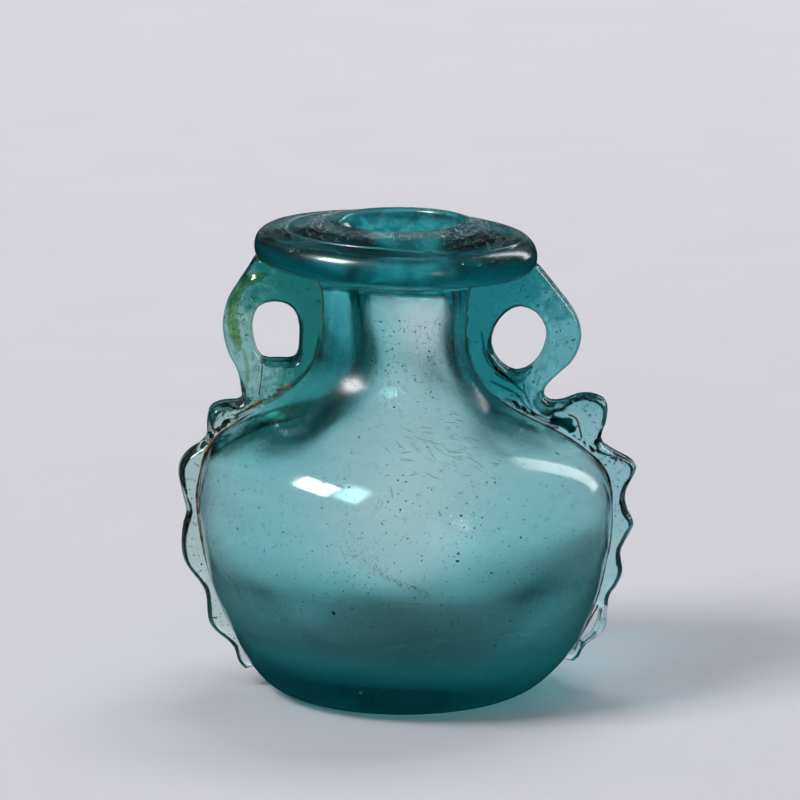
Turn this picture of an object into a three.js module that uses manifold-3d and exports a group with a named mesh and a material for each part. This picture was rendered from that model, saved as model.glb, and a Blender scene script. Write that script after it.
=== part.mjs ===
// A small blown glass perfume flask: a squat round body, a short thick neck, a wide folded rim,
// and on each side a looped handle that runs on down the body as a crimped trail.
// Millimetres, +Z up, the origin at the centre of the flat foot, +X to the viewer's right.

import * as THREE from 'three';
import { mergeVertices } from 'three/addons/utils/BufferGeometryUtils.js';
import Module from 'manifold-3d';

const wasm = await Module();
wasm.setup();

// Body and neck, outside
const height = 75.9;
const footRadius = 18.3;
const bodyRadius = 33.1;
const bellyHeight = 30.3;
const shoulderRadius = 25.2;
const shoulderHeight = 43.3;
const shoulderSlope = 0.5;
const neckRadius = 11.65;

// Folded rim: a thick disc that slopes down from the lip and droops a little to the right
const rimRadius = 22.35;
const rimThickness = 7.3;
const rimEdgeThickness = 5.1;
const rimRoll = 2.3;
const rimBevel = 1.7;
const rimDroop = 1;
const neckFillet = 1.5;

// Mouth
const mouthRadius = 9.7;
const mouthDepth = 8;
const lipWidth = 1.2;
const lipDepth = 1.2;

// Glass thickness
const baseThickness = 7;
const floorRadius = 9;
const backFloorRadius = 6;
const floorKick = 1.4;
const sideWall = 2;
const frontWall = 1.9;
const extraDiagonalWall = 1.6;
const shoulderWall = 3.2;
const neckWallLeft = 6;
const neckWallRight = 2.3;

// Handles: thickness from front to back, the relief of a full crimp off the flask's wall, and
// the gap that keeps each handle off that wall
const loopThickness = 6.4;
const trailThickness = 3.2;
const crimpHeight = 4;
const handleRounding = 0.7;
const handleCrown = 1.6;
const seatGap = 0.3;

// Facets
const turns = 44;
const outerSteps = 8;
const hollowSteps = 6;
const rimSteps = 3;
const handleEdgeSteps = 80;
const handleHoleSteps = 20;
const handleSeatSteps = 9;
const weldDistance = 1e-4;

// Heights that follow from these
const rimUnderside = height - rimThickness;
const rimWidestHeight = rimUnderside + rimRoll;
const rimBevelHeight = rimUnderside + rimEdgeThickness;
const neckHeight = THREE.MathUtils.lerp(shoulderHeight, rimUnderside, 0.672);

const ease = (t) => t * t * (3 - 2 * t);
const share = (value, low, high) => THREE.MathUtils.clamp((value - low) / (high - low), 0, 1);

// How far the middle stands to the right of the origin, from stations of (height, distance)
function driftAt(stations, z) {
  if (z <= stations[0][0]) return stations[0][1];
  for (let i = 1; i < stations.length; i += 1) {
    const [low, before] = stations[i - 1];
    const [high, after] = stations[i];
    if (z <= high) return before + (after - before) * ease((z - low) / (high - low));
  }
  return stations[stations.length - 1][1];
}

// The blown shape is lopsided: the body swells to the right and the neck leans to the left.
const swell = 0.03 * bodyRadius;
const lean = -0.073 * bodyRadius;
const outerDrift = [
  [0, 0.2 * swell], [0.33 * bellyHeight, swell], [0.73 * bellyHeight, 0.7 * swell],
  [1.13 * bellyHeight, 0.3 * swell], [1.05 * shoulderHeight, lean],
  [0.88 * neckHeight, 0.62 * lean], [rimUnderside, 0.4 * lean],
];
const boreMiddle = driftAt(outerDrift, neckHeight) + (neckWallLeft - neckWallRight) / 2;
const hollowDrift = [
  [baseThickness, 0.6 * swell], [bellyHeight, 0.4 * swell], [0.965 * shoulderHeight, 0.3 * lean],
  [1.115 * shoulderHeight, boreMiddle], [neckHeight, boreMiddle], [height, 0.04 * lean],
];

// Profile points are (distance from the axis, height).
const at = (r, z) => new THREE.Vector2(r, z);
const spanPoints = (curve, steps) => curve.getPoints(steps).slice(1);

// The round bowl from its flat bottom up to the belly: a quarter of a superellipse, with its
// own power upwards and across, and steps that crowd towards the bottom
function bowl(bottom, widest, powers, steps) {
  const crowdingPower = 1.8;
  const points = [];
  for (let i = 0; i <= steps; i += 1) {
    const rise = (i / steps) ** crowdingPower;
    const spread = (1 - (1 - rise) ** powers.upward) ** (1 / powers.across);
    points.push(at(
      bottom.x + (widest.x - bottom.x) * spread,
      bottom.y + (widest.y - bottom.y) * rise,
    ));
  }
  return points;
}

// From the belly over the shoulder to the neck, in two curves that meet at the shoulder's slope
function shoulderAndNeck(belly, shoulder, neck, slope, pull, steps) {
  const down = at(Math.cos(slope), -Math.sin(slope));
  const outward = shoulder.clone().addScaledVector(down, pull.out * belly.distanceTo(shoulder));
  const inward = shoulder.clone().addScaledVector(down, -pull.in * shoulder.distanceTo(neck));
  const aboveBelly = at(belly.x, belly.y + pull.belly * (shoulder.y - belly.y));
  const belowNeck = at(neck.x, neck.y - pull.neck * (neck.y - shoulder.y));
  return [
    ...spanPoints(new THREE.CubicBezierCurve(belly, aboveBelly, outward, shoulder), steps),
    ...spanPoints(new THREE.CubicBezierCurve(shoulder, inward, belowNeck, neck), steps),
  ];
}

const bellyPoint = at(bodyRadius, bellyHeight);
const shoulderPoint = at(shoulderRadius, shoulderHeight);
const neckPoint = at(neckRadius, neckHeight);
const outerPowers = { upward: 1.7, across: 1.75 };
const outerPull = { belly: 0.23, out: 0.59, in: 0.5, neck: 0.58 };
const wallProfile = [
  ...bowl(at(footRadius, 0), bellyPoint, outerPowers, outerSteps),
  ...shoulderAndNeck(bellyPoint, shoulderPoint, neckPoint, shoulderSlope, outerPull, outerSteps),
];

// The rim's section: the neck's fillet, underside, rolled edge, sloping top and lip
function rimProfile() {
  const underEdge = at(rimRadius - rimRoll, rimUnderside);
  const widest = at(rimRadius, rimWidestHeight);
  const bevel = at(rimRadius - rimBevel, rimBevelHeight);
  const aboveWidest = at(rimRadius, THREE.MathUtils.lerp(rimBevelHeight, rimWidestHeight, 0.3));
  const lip = at(mouthRadius + lipWidth, height);
  const top = at(THREE.MathUtils.lerp(lip.x, bevel.x, 0.44), (lip.y + bevel.y) / 2);
  const inside = at(mouthRadius - lipWidth / 2, height - lipDepth);
  return [
    ...spanPoints(new THREE.CubicBezierCurve(neckPoint, at(neckRadius, rimUnderside - neckFillet),
      at(neckRadius + neckFillet / 2, rimUnderside), underEdge), outerSteps),
    ...spanPoints(new THREE.QuadraticBezierCurve(underEdge, at(rimRadius, rimUnderside),
      widest), rimSteps),
    ...spanPoints(new THREE.QuadraticBezierCurve(widest, aboveWidest, bevel), rimSteps),
    ...spanPoints(new THREE.QuadraticBezierCurve(bevel, top, lip), rimSteps),
    ...spanPoints(new THREE.QuadraticBezierCurve(lip, at(mouthRadius, height), inside), rimSteps),
  ];
}

const outerProfile = [...wallProfile, ...rimProfile()];

// The hollow: a floor with a slight kick, the wall's inner face, a bore through the neck, and a
// mouth that opens to the lip. It runs on a little above the lip, to cut the mouth open.
function hollowProfile({ bellyWall, upperWall, boreRadius, floorEdge, powers, slope, pull }) {
  const kickHeight = baseThickness + floorKick;
  const floor = at(floorEdge, kickHeight - floorKick * floorEdge / floorRadius);
  const belly = at(bodyRadius - bellyWall, bellyHeight);
  const shoulder = at(shoulderRadius - upperWall * Math.sin(shoulderSlope),
    shoulderHeight - upperWall * Math.cos(shoulderSlope));
  const bore = at(boreRadius, THREE.MathUtils.lerp(shoulderHeight, neckHeight, 0.76));
  const throat = at(boreRadius, height - mouthDepth);
  const mouth = at(mouthRadius, height - lipDepth / 2);
  const kick = new THREE.QuadraticBezierCurve(at(0, kickHeight), at(floorEdge / 2, kickHeight),
    floor);
  return [
    ...kick.getPoints(rimSteps),
    ...bowl(floor, belly, powers, hollowSteps).slice(1),
    ...shoulderAndNeck(belly, shoulder, bore, slope, pull, hollowSteps),
    throat,
    ...spanPoints(new THREE.QuadraticBezierCurve(throat,
      at(boreRadius, height - mouthDepth / 3), mouth), rimSteps),
    at(mouthRadius, height + lipDepth),
  ];
}

// The wall is thick at the sides of the shoulder and neck, and even in front and behind. The
// glass has gathered at the back of the base.
const evenPowers = { upward: 1.75, across: 2.45 };
const sideSection = hollowProfile({
  bellyWall: sideWall,
  upperWall: shoulderWall,
  boreRadius: neckRadius - (neckWallLeft + neckWallRight) / 2,
  floorEdge: floorRadius,
  powers: evenPowers,
  slope: 0.27,
  pull: { belly: 0.6, out: 0.6, in: 0.42, neck: 0.54 },
});
const frontBore = {
  bellyWall: frontWall,
  upperWall: frontWall,
  boreRadius: neckRadius - frontWall,
  slope: shoulderSlope,
  pull: outerPull,
};
const frontSection = hollowProfile({ ...frontBore, floorEdge: floorRadius, powers: evenPowers });
const backSection = hollowProfile({
  ...frontBore,
  floorEdge: backFloorRadius,
  powers: { upward: 2.3, across: 2.7 },
});

// Extra thickness of the wall halfway between front and side, over the body's height
function diagonalWall(angle, z) {
  const above = ease(share(z, 0.26 * bellyHeight, 0.66 * bellyHeight));
  const below = ease(share(z, 1.06 * shoulderHeight, 0.83 * shoulderHeight));
  return extraDiagonalWall * above * below * Math.sin(2 * angle) ** 2;
}

// Rings turned from the sections at the sides, in front and behind, closed on the axis at both
// ends, moved sideways by the drift, and lowered to the right from the neck's top up to the rim's
// edge. The radius is less by extra.
function turned(sections, stations, extra = () => 0) {
  const [side, front, back] = sections.map((profile) => [at(0, profile[0].y),
    ...profile.filter((p) => p.x > 0), at(0, profile[profile.length - 1].y)]);
  const geometry = new THREE.LatheGeometry(side, turns);
  geometry.rotateX(Math.PI / 2);
  const position = geometry.attributes.position;
  for (let i = 0; i < position.count; i += 1) {
    const j = i % side.length;
    const angle = Math.atan2(position.getY(i), position.getX(i));
    const sine = Math.sin(angle);
    const place = side[j].clone().lerp(sine < 0 ? front[j] : back[j], sine ** 2);
    const radius = place.x > 0 ? place.x - extra(angle, place.y) : 0;
    const x = radius * Math.cos(angle);
    const onRim = ease(share(place.y, neckHeight, rimUnderside));
    const reach = onRim * share(radius, mouthRadius, rimRadius);
    const droop = rimDroop * reach * x / rimRadius;
    position.setXYZ(i, x + driftAt(stations, place.y), radius * sine, place.y - droop);
  }
  return geometry;
}

const turnedAlike = (profile, stations) => turned([profile, profile, profile], stations);

function solidOf(geometry) {
  geometry.deleteAttribute('normal');
  geometry.deleteAttribute('uv');
  const merged = mergeVertices(geometry, weldDistance);
  const index = merged.index.array;
  const triangles = [];
  for (let i = 0; i < index.length; i += 3) {
    const [a, b, c] = index.slice(i, i + 3);
    if (a !== b && b !== c && c !== a) triangles.push(a, b, c);
  }
  return new wasm.Manifold(new wasm.Mesh({
    numProp: 3,
    vertProperties: Float32Array.from(merged.attributes.position.array),
    triVerts: Uint32Array.from(triangles),
  }));
}

function geometryOf(solid) {
  const mesh = solid.getMesh();
  const geometry = new THREE.BufferGeometry();
  geometry.setAttribute('position', new THREE.BufferAttribute(mesh.vertProperties, 3));
  geometry.setIndex(new THREE.BufferAttribute(mesh.triVerts, 1));
  geometry.computeVertexNormals();
  return geometry;
}

// A profile moved outwards by a distance, point by point
function grown(profile, distance) {
  return profile.map((point, i) => {
    const before = profile[Math.max(i - 1, 0)];
    const after = profile[Math.min(i + 1, profile.length - 1)];
    const along = after.clone().sub(before).normalize();
    return at(Math.max(point.x + along.y * distance, 0), point.y - along.x * distance);
  });
}

const outerSolid = solidOf(turnedAlike(outerProfile, outerDrift));
const hollowSolid = solidOf(turned([sideSection, frontSection, backSection], hollowDrift,
  diagonalWall));
const vesselSolid = outerSolid.subtract(hollowSolid);
const seatSolid = solidOf(turnedAlike(grown(outerProfile, seatGap), outerDrift));

// Radius of the flask's wall at a height
function wallRadius(z) {
  const upper = wallProfile.findIndex((point) => point.y >= z);
  if (upper === -1) return neckRadius;
  if (upper === 0) return footRadius;
  const low = wallProfile[upper - 1];
  const high = wallProfile[upper];
  return THREE.MathUtils.mapLinear(z, low.y, high.y, low.x, high.x);
}

// Handle outlines lie in the XZ plane. A loop point is a share of the way out from the neck to
// the rim's edge, and of the way up from the shoulder to the rim's underside.
function loopPoint(side, [out, up]) {
  const z = THREE.MathUtils.lerp(shoulderHeight, rimUnderside, up);
  const radius = THREE.MathUtils.lerp(neckRadius, rimRadius, out);
  return at(driftAt(outerDrift, z) + side * radius, z);
}

// A point of the loop's foot stands out from the wall by a share of a full crimp, at a share of
// the way up from the shoulder to the rim's underside.
function footPoint(side, [relief, up]) {
  const z = THREE.MathUtils.lerp(shoulderHeight, rimUnderside, up);
  return at(driftAt(outerDrift, z) + side * (wallRadius(z) + relief * crimpHeight), z);
}

// A trail point is a share of the shoulder's height, and stands off the wall there, along its
// normal, by a share of a full crimp.
function trailPoint(side, [level, relief]) {
  const z = level * shoulderHeight;
  const step = 0.01 * shoulderHeight;
  const slope = (wallRadius(z + step) - wallRadius(z - step)) / (2 * step);
  const standOff = relief * crimpHeight / Math.hypot(1, slope);
  return at(driftAt(outerDrift, z) + side * (wallRadius(z) + standOff), z - standOff * slope);
}

const leftHandle = {
  side: -1,
  loop: [[0.99, 1.06], [1.12, 0.97], [1.27, 0.87], [1.39, 0.77], [1.44, 0.62], [1.36, 0.46],
    [1.2, 0.33]],
  foot: [[1.84, 0.22], [1.16, 0.15]],
  trail: [[1.012, 0.85], [0.985, 0.98], [0.963, 0.65], [0.943, 0.33], [0.915, 0.25],
    [0.855, 0.7], [0.8, 0.83], [0.713, 0.5], [0.668, 0.45], [0.62, 0.68], [0.54, 0.88],
    [0.475, 0.83], [0.4, 0.48], [0.353, 0.48], [0.29, 0.73], [0.245, 0.73], [0.171, 0.35],
    [0.12, 0.45], [0.088, 0.4], [0.085, 0.08], [0.09, -0.3]],
  hole: [[0.7, 0.77], [0.92, 0.74], [1, 0.64], [0.97, 0.53], [0.85, 0.42], [0.6, 0.41],
    [0.35, 0.42], [0.3, 0.53], [0.34, 0.68], [0.48, 0.75]],
};

const rightHandle = {
  side: 1,
  loop: [[1, 1.01], [1.16, 0.93], [1.35, 0.83], [1.54, 0.73], [1.67, 0.62], [1.69, 0.51],
    [1.57, 0.39], [1.38, 0.31]],
  foot: [[2.13, 0.22], [1.64, 0.15], [2.13, 0.14]],
  trail: [[0.979, 1.63], [0.962, 1.9], [0.942, 1.93], [0.922, 1.33], [0.911, 0.8], [0.892, 0.55],
    [0.857, 0.73], [0.83, 1.03], [0.801, 1.13], [0.75, 0.63], [0.713, 0.5], [0.668, 0.65],
    [0.626, 0.9], [0.578, 0.7], [0.52, 0.5], [0.451, 0.75], [0.4, 0.65], [0.353, 0.5],
    [0.273, 0.75], [0.233, 0.78], [0.175, 0.45], [0.14, 0.53], [0.118, 0.45], [0.112, 0.13],
    [0.118, -0.3]],
  hole: [[0.76, 0.74], [0.56, 0.7], [0.41, 0.61], [0.37, 0.5], [0.5, 0.39], [0.75, 0.33],
    [0.98, 0.37], [1.14, 0.47], [1.17, 0.59], [1.01, 0.7]],
  slot: [[0.31, 0.23], [0.27, 0.38], [0.22, 0.4], [0.18, 0.2], [0.18, -0.15], [0.31, -0.15]],
};

// A smooth ring through a few points
function closedCurve(points) {
  const ring = new THREE.CatmullRomCurve3(points.map((p) => new THREE.Vector3(p.x, p.y, 0)), true);
  return ring.getPoints(handleHoleSteps).slice(1).map((p) => at(p.x, p.y));
}

// From the rim down the loop's outer edge and the trail, then back up well inside the wall,
// where the flask's own shape cuts it off
function handleOutline({ side, loop, foot, trail, hole }) {
  const edge = new THREE.SplineCurve([
    ...loop.map((point) => loopPoint(side, point)),
    ...foot.map((point) => footPoint(side, point)),
    ...trail.map((point) => trailPoint(side, point)),
  ]);
  const [tail] = trail[trail.length - 1];
  const inset = 0.43 * neckRadius;
  const sunk = [];
  for (let i = 0; i <= handleSeatSteps; i += 1) {
    const z = THREE.MathUtils.lerp(tail * shoulderHeight, rimWidestHeight, i / handleSeatSteps);
    sunk.push(at(driftAt(outerDrift, z) + side * (wallRadius(z) - inset), z));
  }
  const outline = new THREE.Shape([...edge.getSpacedPoints(handleEdgeSteps), ...sunk]);
  outline.holes.push(new THREE.Path(closedCurve(hole.map((point) => loopPoint(side, point)))));
  return outline;
}

// Half the handle's thickness, from the thin tail up to the full loop
function halfThickness(z) {
  const fullness = ease(share(z, 0, shoulderHeight));
  return THREE.MathUtils.lerp(trailThickness, loopThickness, fullness) / 2;
}

// An outline in the XZ plane, made solid from front to back
function slab(outline, depth, rounding, crown) {
  const geometry = new THREE.ExtrudeGeometry(outline, {
    depth: depth - 2 * crown,
    bevelEnabled: crown > 0,
    bevelThickness: crown,
    bevelSize: rounding,
    bevelOffset: -rounding,
    bevelSegments: 2,
    steps: 1,
  });
  geometry.translate(0, 0, crown - depth / 2);
  geometry.rotateX(Math.PI / 2);
  return geometry;
}

function handleSolid(handle) {
  const geometry = slab(handleOutline(handle), loopThickness, handleRounding, handleCrown);
  const position = geometry.attributes.position;
  for (let i = 0; i < position.count; i += 1) {
    const thinning = halfThickness(position.getZ(i)) / (loopThickness / 2);
    position.setY(i, position.getY(i) * thinning);
  }
  let solid = solidOf(geometry).subtract(seatSolid);
  if (handle.slot) {
    const corners = handle.slot.map((point) => trailPoint(handle.side, point));
    const cut = slab(new THREE.Shape(corners), 2 * loopThickness, 0, 0);
    solid = solid.subtract(solidOf(cut));
  }
  return solid;
}

function glass(color, roughness) {
  return new THREE.MeshStandardMaterial({
    color,
    roughness,
    metalness: 0,
    transparent: true,
    opacity: 0.7,
  });
}

function addPiece(group, name, solid, material) {
  const mesh = new THREE.Mesh(geometryOf(solid), material);
  mesh.name = name;
  group.add(mesh);
}

const flask = new THREE.Group();
flask.name = 'perfume_flask';
addPiece(flask, 'vessel', vesselSolid, glass(0x4f97a1, 0.08));
addPiece(flask, 'handle_left', handleSolid(leftHandle), glass(0x8fb8a8, 0.12));
addPiece(flask, 'handle_right', handleSolid(rightHandle), glass(0x4b929c, 0.12));

export default flask;
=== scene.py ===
# A small blown perfume flask of blue-green glass: a squat round body, a short thick neck, a wide
# folded rim, and on each side a looped handle that runs on down the body as a crimped trail.
# Metres, +Z up, the origin at the centre of the flat foot, +X to the viewer's right.

import math

import bpy
import numpy as np
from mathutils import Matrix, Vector, noise as solid_noise
from mathutils.bvhtree import BVHTree
from mathutils.kdtree import KDTree


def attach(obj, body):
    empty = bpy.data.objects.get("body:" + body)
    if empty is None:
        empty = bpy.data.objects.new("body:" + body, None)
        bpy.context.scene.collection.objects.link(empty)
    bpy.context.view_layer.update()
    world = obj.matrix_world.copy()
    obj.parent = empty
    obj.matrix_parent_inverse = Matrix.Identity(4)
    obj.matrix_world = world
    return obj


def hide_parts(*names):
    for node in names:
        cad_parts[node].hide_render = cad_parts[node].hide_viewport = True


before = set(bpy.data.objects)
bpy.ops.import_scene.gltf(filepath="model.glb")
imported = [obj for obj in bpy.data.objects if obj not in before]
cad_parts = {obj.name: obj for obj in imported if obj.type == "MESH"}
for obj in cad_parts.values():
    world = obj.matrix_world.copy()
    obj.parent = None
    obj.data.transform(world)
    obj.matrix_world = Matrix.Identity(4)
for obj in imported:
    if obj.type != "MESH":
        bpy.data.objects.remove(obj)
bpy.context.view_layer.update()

MM = 0.001
UP = np.array([0.0, 0.0, 1.0])

# Body and neck, outside
HEIGHT = 75.9 * MM
FOOT_RADIUS = 18.3 * MM
BODY_RADIUS = 33.1 * MM
BELLY_HEIGHT = 30.3 * MM
SHOULDER_RADIUS = 25.2 * MM
SHOULDER_HEIGHT = 43.3 * MM
SHOULDER_SLOPE = 0.5
HOLLOW_SLOPE = 0.27
NECK_RADIUS = 11.65 * MM

# Folded rim
RIM_RADIUS = 22.35 * MM
RIM_THICKNESS = 7.3 * MM
RIM_EDGE_THICKNESS = 5.1 * MM
RIM_ROLL = 2.3 * MM
RIM_BEVEL = 1.7 * MM
RIM_DROOP = 1.0 * MM
NECK_FILLET = 1.5 * MM
CREASE_RADIUS = 17.4 * MM
CREASE_RADIUS_RIGHT = 20.2 * MM
CREASE_DEPTH = 0.55 * MM
CREASE_WIDTH = 0.2 * MM

# Mouth
MOUTH_RADIUS = 9.7 * MM
MOUTH_DEPTH = 8.0 * MM
LIP_WIDTH = 1.2 * MM
LIP_DEPTH = 1.2 * MM

# Glass thickness
BASE_THICKNESS = 7.0 * MM
FLOOR_RADIUS = 9.0 * MM
FLOOR_KICK = 1.4 * MM
BACK_FLOOR_RADIUS = 6.0 * MM
DIAGONAL_WALL = 1.6 * MM
BODY_WALL = 2.0 * MM
SHOULDER_WALL = 3.2 * MM
NECK_WALL_LEFT = 6.0 * MM
NECK_WALL_RIGHT = 2.3 * MM
FRONT_WALL = 1.9 * MM
FOOT_HOLLOW = 0.5 * MM

# Handles
LOOP_THICKNESS = 6.4 * MM
TRAIL_THICKNESS = 3.2 * MM
CRIMP_HEIGHT = 4.0 * MM
SEAT_GAP = 0.3 * MM

# How full the curves are
OUTER_POWERS = (1.7, 1.75)
HOLLOW_POWERS = (1.75, 2.45)
BACK_POWERS = (2.3, 2.7)
OUTER_PULL = {"belly": 0.23, "out": 0.59, "in": 0.5, "neck": 0.58}
HOLLOW_PULL = {"belly": 0.6, "out": 0.6, "in": 0.42, "neck": 0.54}
SURFACE_TENSION = 1.6 * MM

# Heights that follow from these
RIM_UNDERSIDE = HEIGHT - RIM_THICKNESS
RIM_WIDEST_HEIGHT = RIM_UNDERSIDE + RIM_ROLL
RIM_BEVEL_HEIGHT = RIM_UNDERSIDE + RIM_EDGE_THICKNESS


def lerp(a, b, t):
    return a + (b - a) * t


def ease(t):
    return t * t * (3 - 2 * t)


def share(value, low, high):
    return np.clip((value - low) / (high - low), 0, 1)


NECK_HEIGHT = lerp(SHOULDER_HEIGHT, RIM_UNDERSIDE, 0.672)


# How far the middle stands to the right of the origin, from stations of (height, distance)
def drift_at(stations, z):
    heights = np.array([height for height, _ in stations])
    distances = np.array([distance for _, distance in stations])
    i = np.clip(np.searchsorted(heights, z) - 1, 0, len(heights) - 2)
    return lerp(distances[i], distances[i + 1], ease(share(z, heights[i], heights[i + 1])))


# The blown shape is lopsided: the body swells to the right and the neck leans to the left.
SWELL = 0.03 * BODY_RADIUS
LEAN = -0.073 * BODY_RADIUS
OUTER_DRIFT = [
    (0, 0.2 * SWELL), (0.33 * BELLY_HEIGHT, SWELL), (0.73 * BELLY_HEIGHT, 0.7 * SWELL),
    (1.13 * BELLY_HEIGHT, 0.3 * SWELL), (1.05 * SHOULDER_HEIGHT, LEAN),
    (0.88 * NECK_HEIGHT, 0.62 * LEAN), (RIM_UNDERSIDE, 0.4 * LEAN),
]
BORE_MIDDLE = float(drift_at(OUTER_DRIFT, NECK_HEIGHT)) + (NECK_WALL_LEFT - NECK_WALL_RIGHT) / 2
HOLLOW_DRIFT = [
    (BASE_THICKNESS, 0.6 * SWELL), (BELLY_HEIGHT, 0.4 * SWELL), (0.965 * SHOULDER_HEIGHT, 0.3 * LEAN),
    (1.115 * SHOULDER_HEIGHT, BORE_MIDDLE), (NECK_HEIGHT, BORE_MIDDLE), (HEIGHT, 0.04 * LEAN),
]


# Points along a Bezier curve after its first point. Profile points are (distance from the axis,
# height).
def bezier(points, steps):
    t = np.linspace(0, 1, steps + 1)[1:, None]
    layer = [np.array(point, float) for point in points]
    while len(layer) > 1:
        layer = [a + (b - a) * t for a, b in zip(layer, layer[1:])]
    return layer[0]


# The round bowl from its flat bottom up to the belly: a quarter of a superellipse, with its own
# power upwards and across
def bowl(bottom, widest, powers, steps):
    upward, across = powers
    rise = np.linspace(0, 1, steps + 1) ** 1.8
    spread = (1 - (1 - rise) ** upward) ** (1 / across)
    return np.stack([lerp(bottom[0], widest[0], spread), lerp(bottom[1], widest[1], rise)], axis=1)


# From the belly over the shoulder to the neck, in two curves that meet at the shoulder's slope
def shoulder_and_neck(belly, shoulder, neck, slope, pull, steps):
    belly, shoulder, neck = (np.array(point, float) for point in (belly, shoulder, neck))
    down = np.array([math.cos(slope), -math.sin(slope)])
    outward = shoulder + down * pull["out"] * math.dist(belly, shoulder)
    inward = shoulder - down * pull["in"] * math.dist(shoulder, neck)
    above_belly = belly + [0, pull["belly"] * (shoulder[1] - belly[1])]
    below_neck = neck - [0, pull["neck"] * (neck[1] - shoulder[1])]
    return np.concatenate([
        bezier([belly, above_belly, outward, shoulder], steps),
        bezier([shoulder, inward, below_neck, neck], steps),
    ])


def wall_profile():
    belly = (BODY_RADIUS, BELLY_HEIGHT)
    shoulder = (SHOULDER_RADIUS, SHOULDER_HEIGHT)
    return np.concatenate([
        bowl((FOOT_RADIUS, 0), belly, OUTER_POWERS, 62),
        shoulder_and_neck(belly, shoulder, (NECK_RADIUS, NECK_HEIGHT), SHOULDER_SLOPE, OUTER_PULL, 34),
    ])


# The neck's fillet and the rim's underside, its rolled edge and its bevel
def rim_edge_profile():
    under_edge = (RIM_RADIUS - RIM_ROLL, RIM_UNDERSIDE)
    widest = (RIM_RADIUS, RIM_WIDEST_HEIGHT)
    bevel = (RIM_RADIUS - RIM_BEVEL, RIM_BEVEL_HEIGHT)
    above_widest = (RIM_RADIUS, lerp(RIM_BEVEL_HEIGHT, RIM_WIDEST_HEIGHT, 0.3))
    return np.concatenate([
        bezier([(NECK_RADIUS, NECK_HEIGHT), (NECK_RADIUS, RIM_UNDERSIDE - NECK_FILLET),
                (NECK_RADIUS + NECK_FILLET / 2, RIM_UNDERSIDE), under_edge], 34),
        bezier([under_edge, (RIM_RADIUS, RIM_UNDERSIDE), widest], 16),
        bezier([widest, above_widest, bevel], 16),
    ])


# The sloping top from the bevel to the lip, with the crease that the folded edge leaves, and the
# lip's own round into the mouth
def rim_top_profile():
    bevel = (RIM_RADIUS - RIM_BEVEL, RIM_BEVEL_HEIGHT)
    lip = (MOUTH_RADIUS + LIP_WIDTH, HEIGHT)
    top = (lerp(lip[0], bevel[0], 0.44), (lip[1] + bevel[1]) / 2)
    slope = bezier([bevel, top, lip], 400)
    crowded = np.unique(np.concatenate([np.arange(0, 150, 4), np.arange(150, 400, 14), [399]]))
    return np.concatenate([
        slope[crowded],
        bezier([lip, (MOUTH_RADIUS + 0.1 * LIP_WIDTH, HEIGHT),
                (MOUTH_RADIUS, HEIGHT - 0.6 * LIP_DEPTH)], 10),
    ])


# The hollow from the middle of its floor to the mouth: a slight kick, the wall's inner face, a
# bore through the neck and a mouth that opens to the lip. The wall is thick at the sides of the
# shoulder and neck, and thin in front and behind.
def hollow_profile(body_wall, shoulder_wall, bore_radius, floor_radius, powers, slope, pull):
    kick_height = BASE_THICKNESS + FLOOR_KICK
    floor = (floor_radius, lerp(kick_height, BASE_THICKNESS, floor_radius / FLOOR_RADIUS))
    belly = (BODY_RADIUS - body_wall, BELLY_HEIGHT)
    shoulder = (SHOULDER_RADIUS - shoulder_wall * math.sin(SHOULDER_SLOPE),
                SHOULDER_HEIGHT - shoulder_wall * math.cos(SHOULDER_SLOPE))
    bore = (bore_radius, lerp(SHOULDER_HEIGHT, NECK_HEIGHT, 0.76))
    throat = (bore_radius, HEIGHT - MOUTH_DEPTH)
    mouth = (MOUTH_RADIUS, HEIGHT - LIP_DEPTH)
    return np.concatenate([
        bezier([(0, kick_height), (floor_radius / 2, kick_height), floor], 14),
        bowl(floor, belly, powers, 50)[1:],
        shoulder_and_neck(belly, shoulder, bore, slope, pull, 26),
        bezier([bore, throat], 10),
        bezier([throat, (bore_radius, HEIGHT - MOUTH_DEPTH / 3), mouth], 16),
    ])


def side_hollow():
    bore_radius = NECK_RADIUS - (NECK_WALL_LEFT + NECK_WALL_RIGHT) / 2
    return hollow_profile(BODY_WALL, SHOULDER_WALL, bore_radius, FLOOR_RADIUS, HOLLOW_POWERS,
                          HOLLOW_SLOPE, HOLLOW_PULL)


def front_hollow():
    return hollow_profile(FRONT_WALL, FRONT_WALL, NECK_RADIUS - FRONT_WALL, FLOOR_RADIUS, HOLLOW_POWERS,
                          SHOULDER_SLOPE, OUTER_PULL)


# The glass has gathered at the back of the base.
def back_hollow():
    return hollow_profile(FRONT_WALL, FRONT_WALL, NECK_RADIUS - FRONT_WALL, BACK_FLOOR_RADIUS,
                          BACK_POWERS, SHOULDER_SLOPE, OUTER_PULL)


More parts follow.
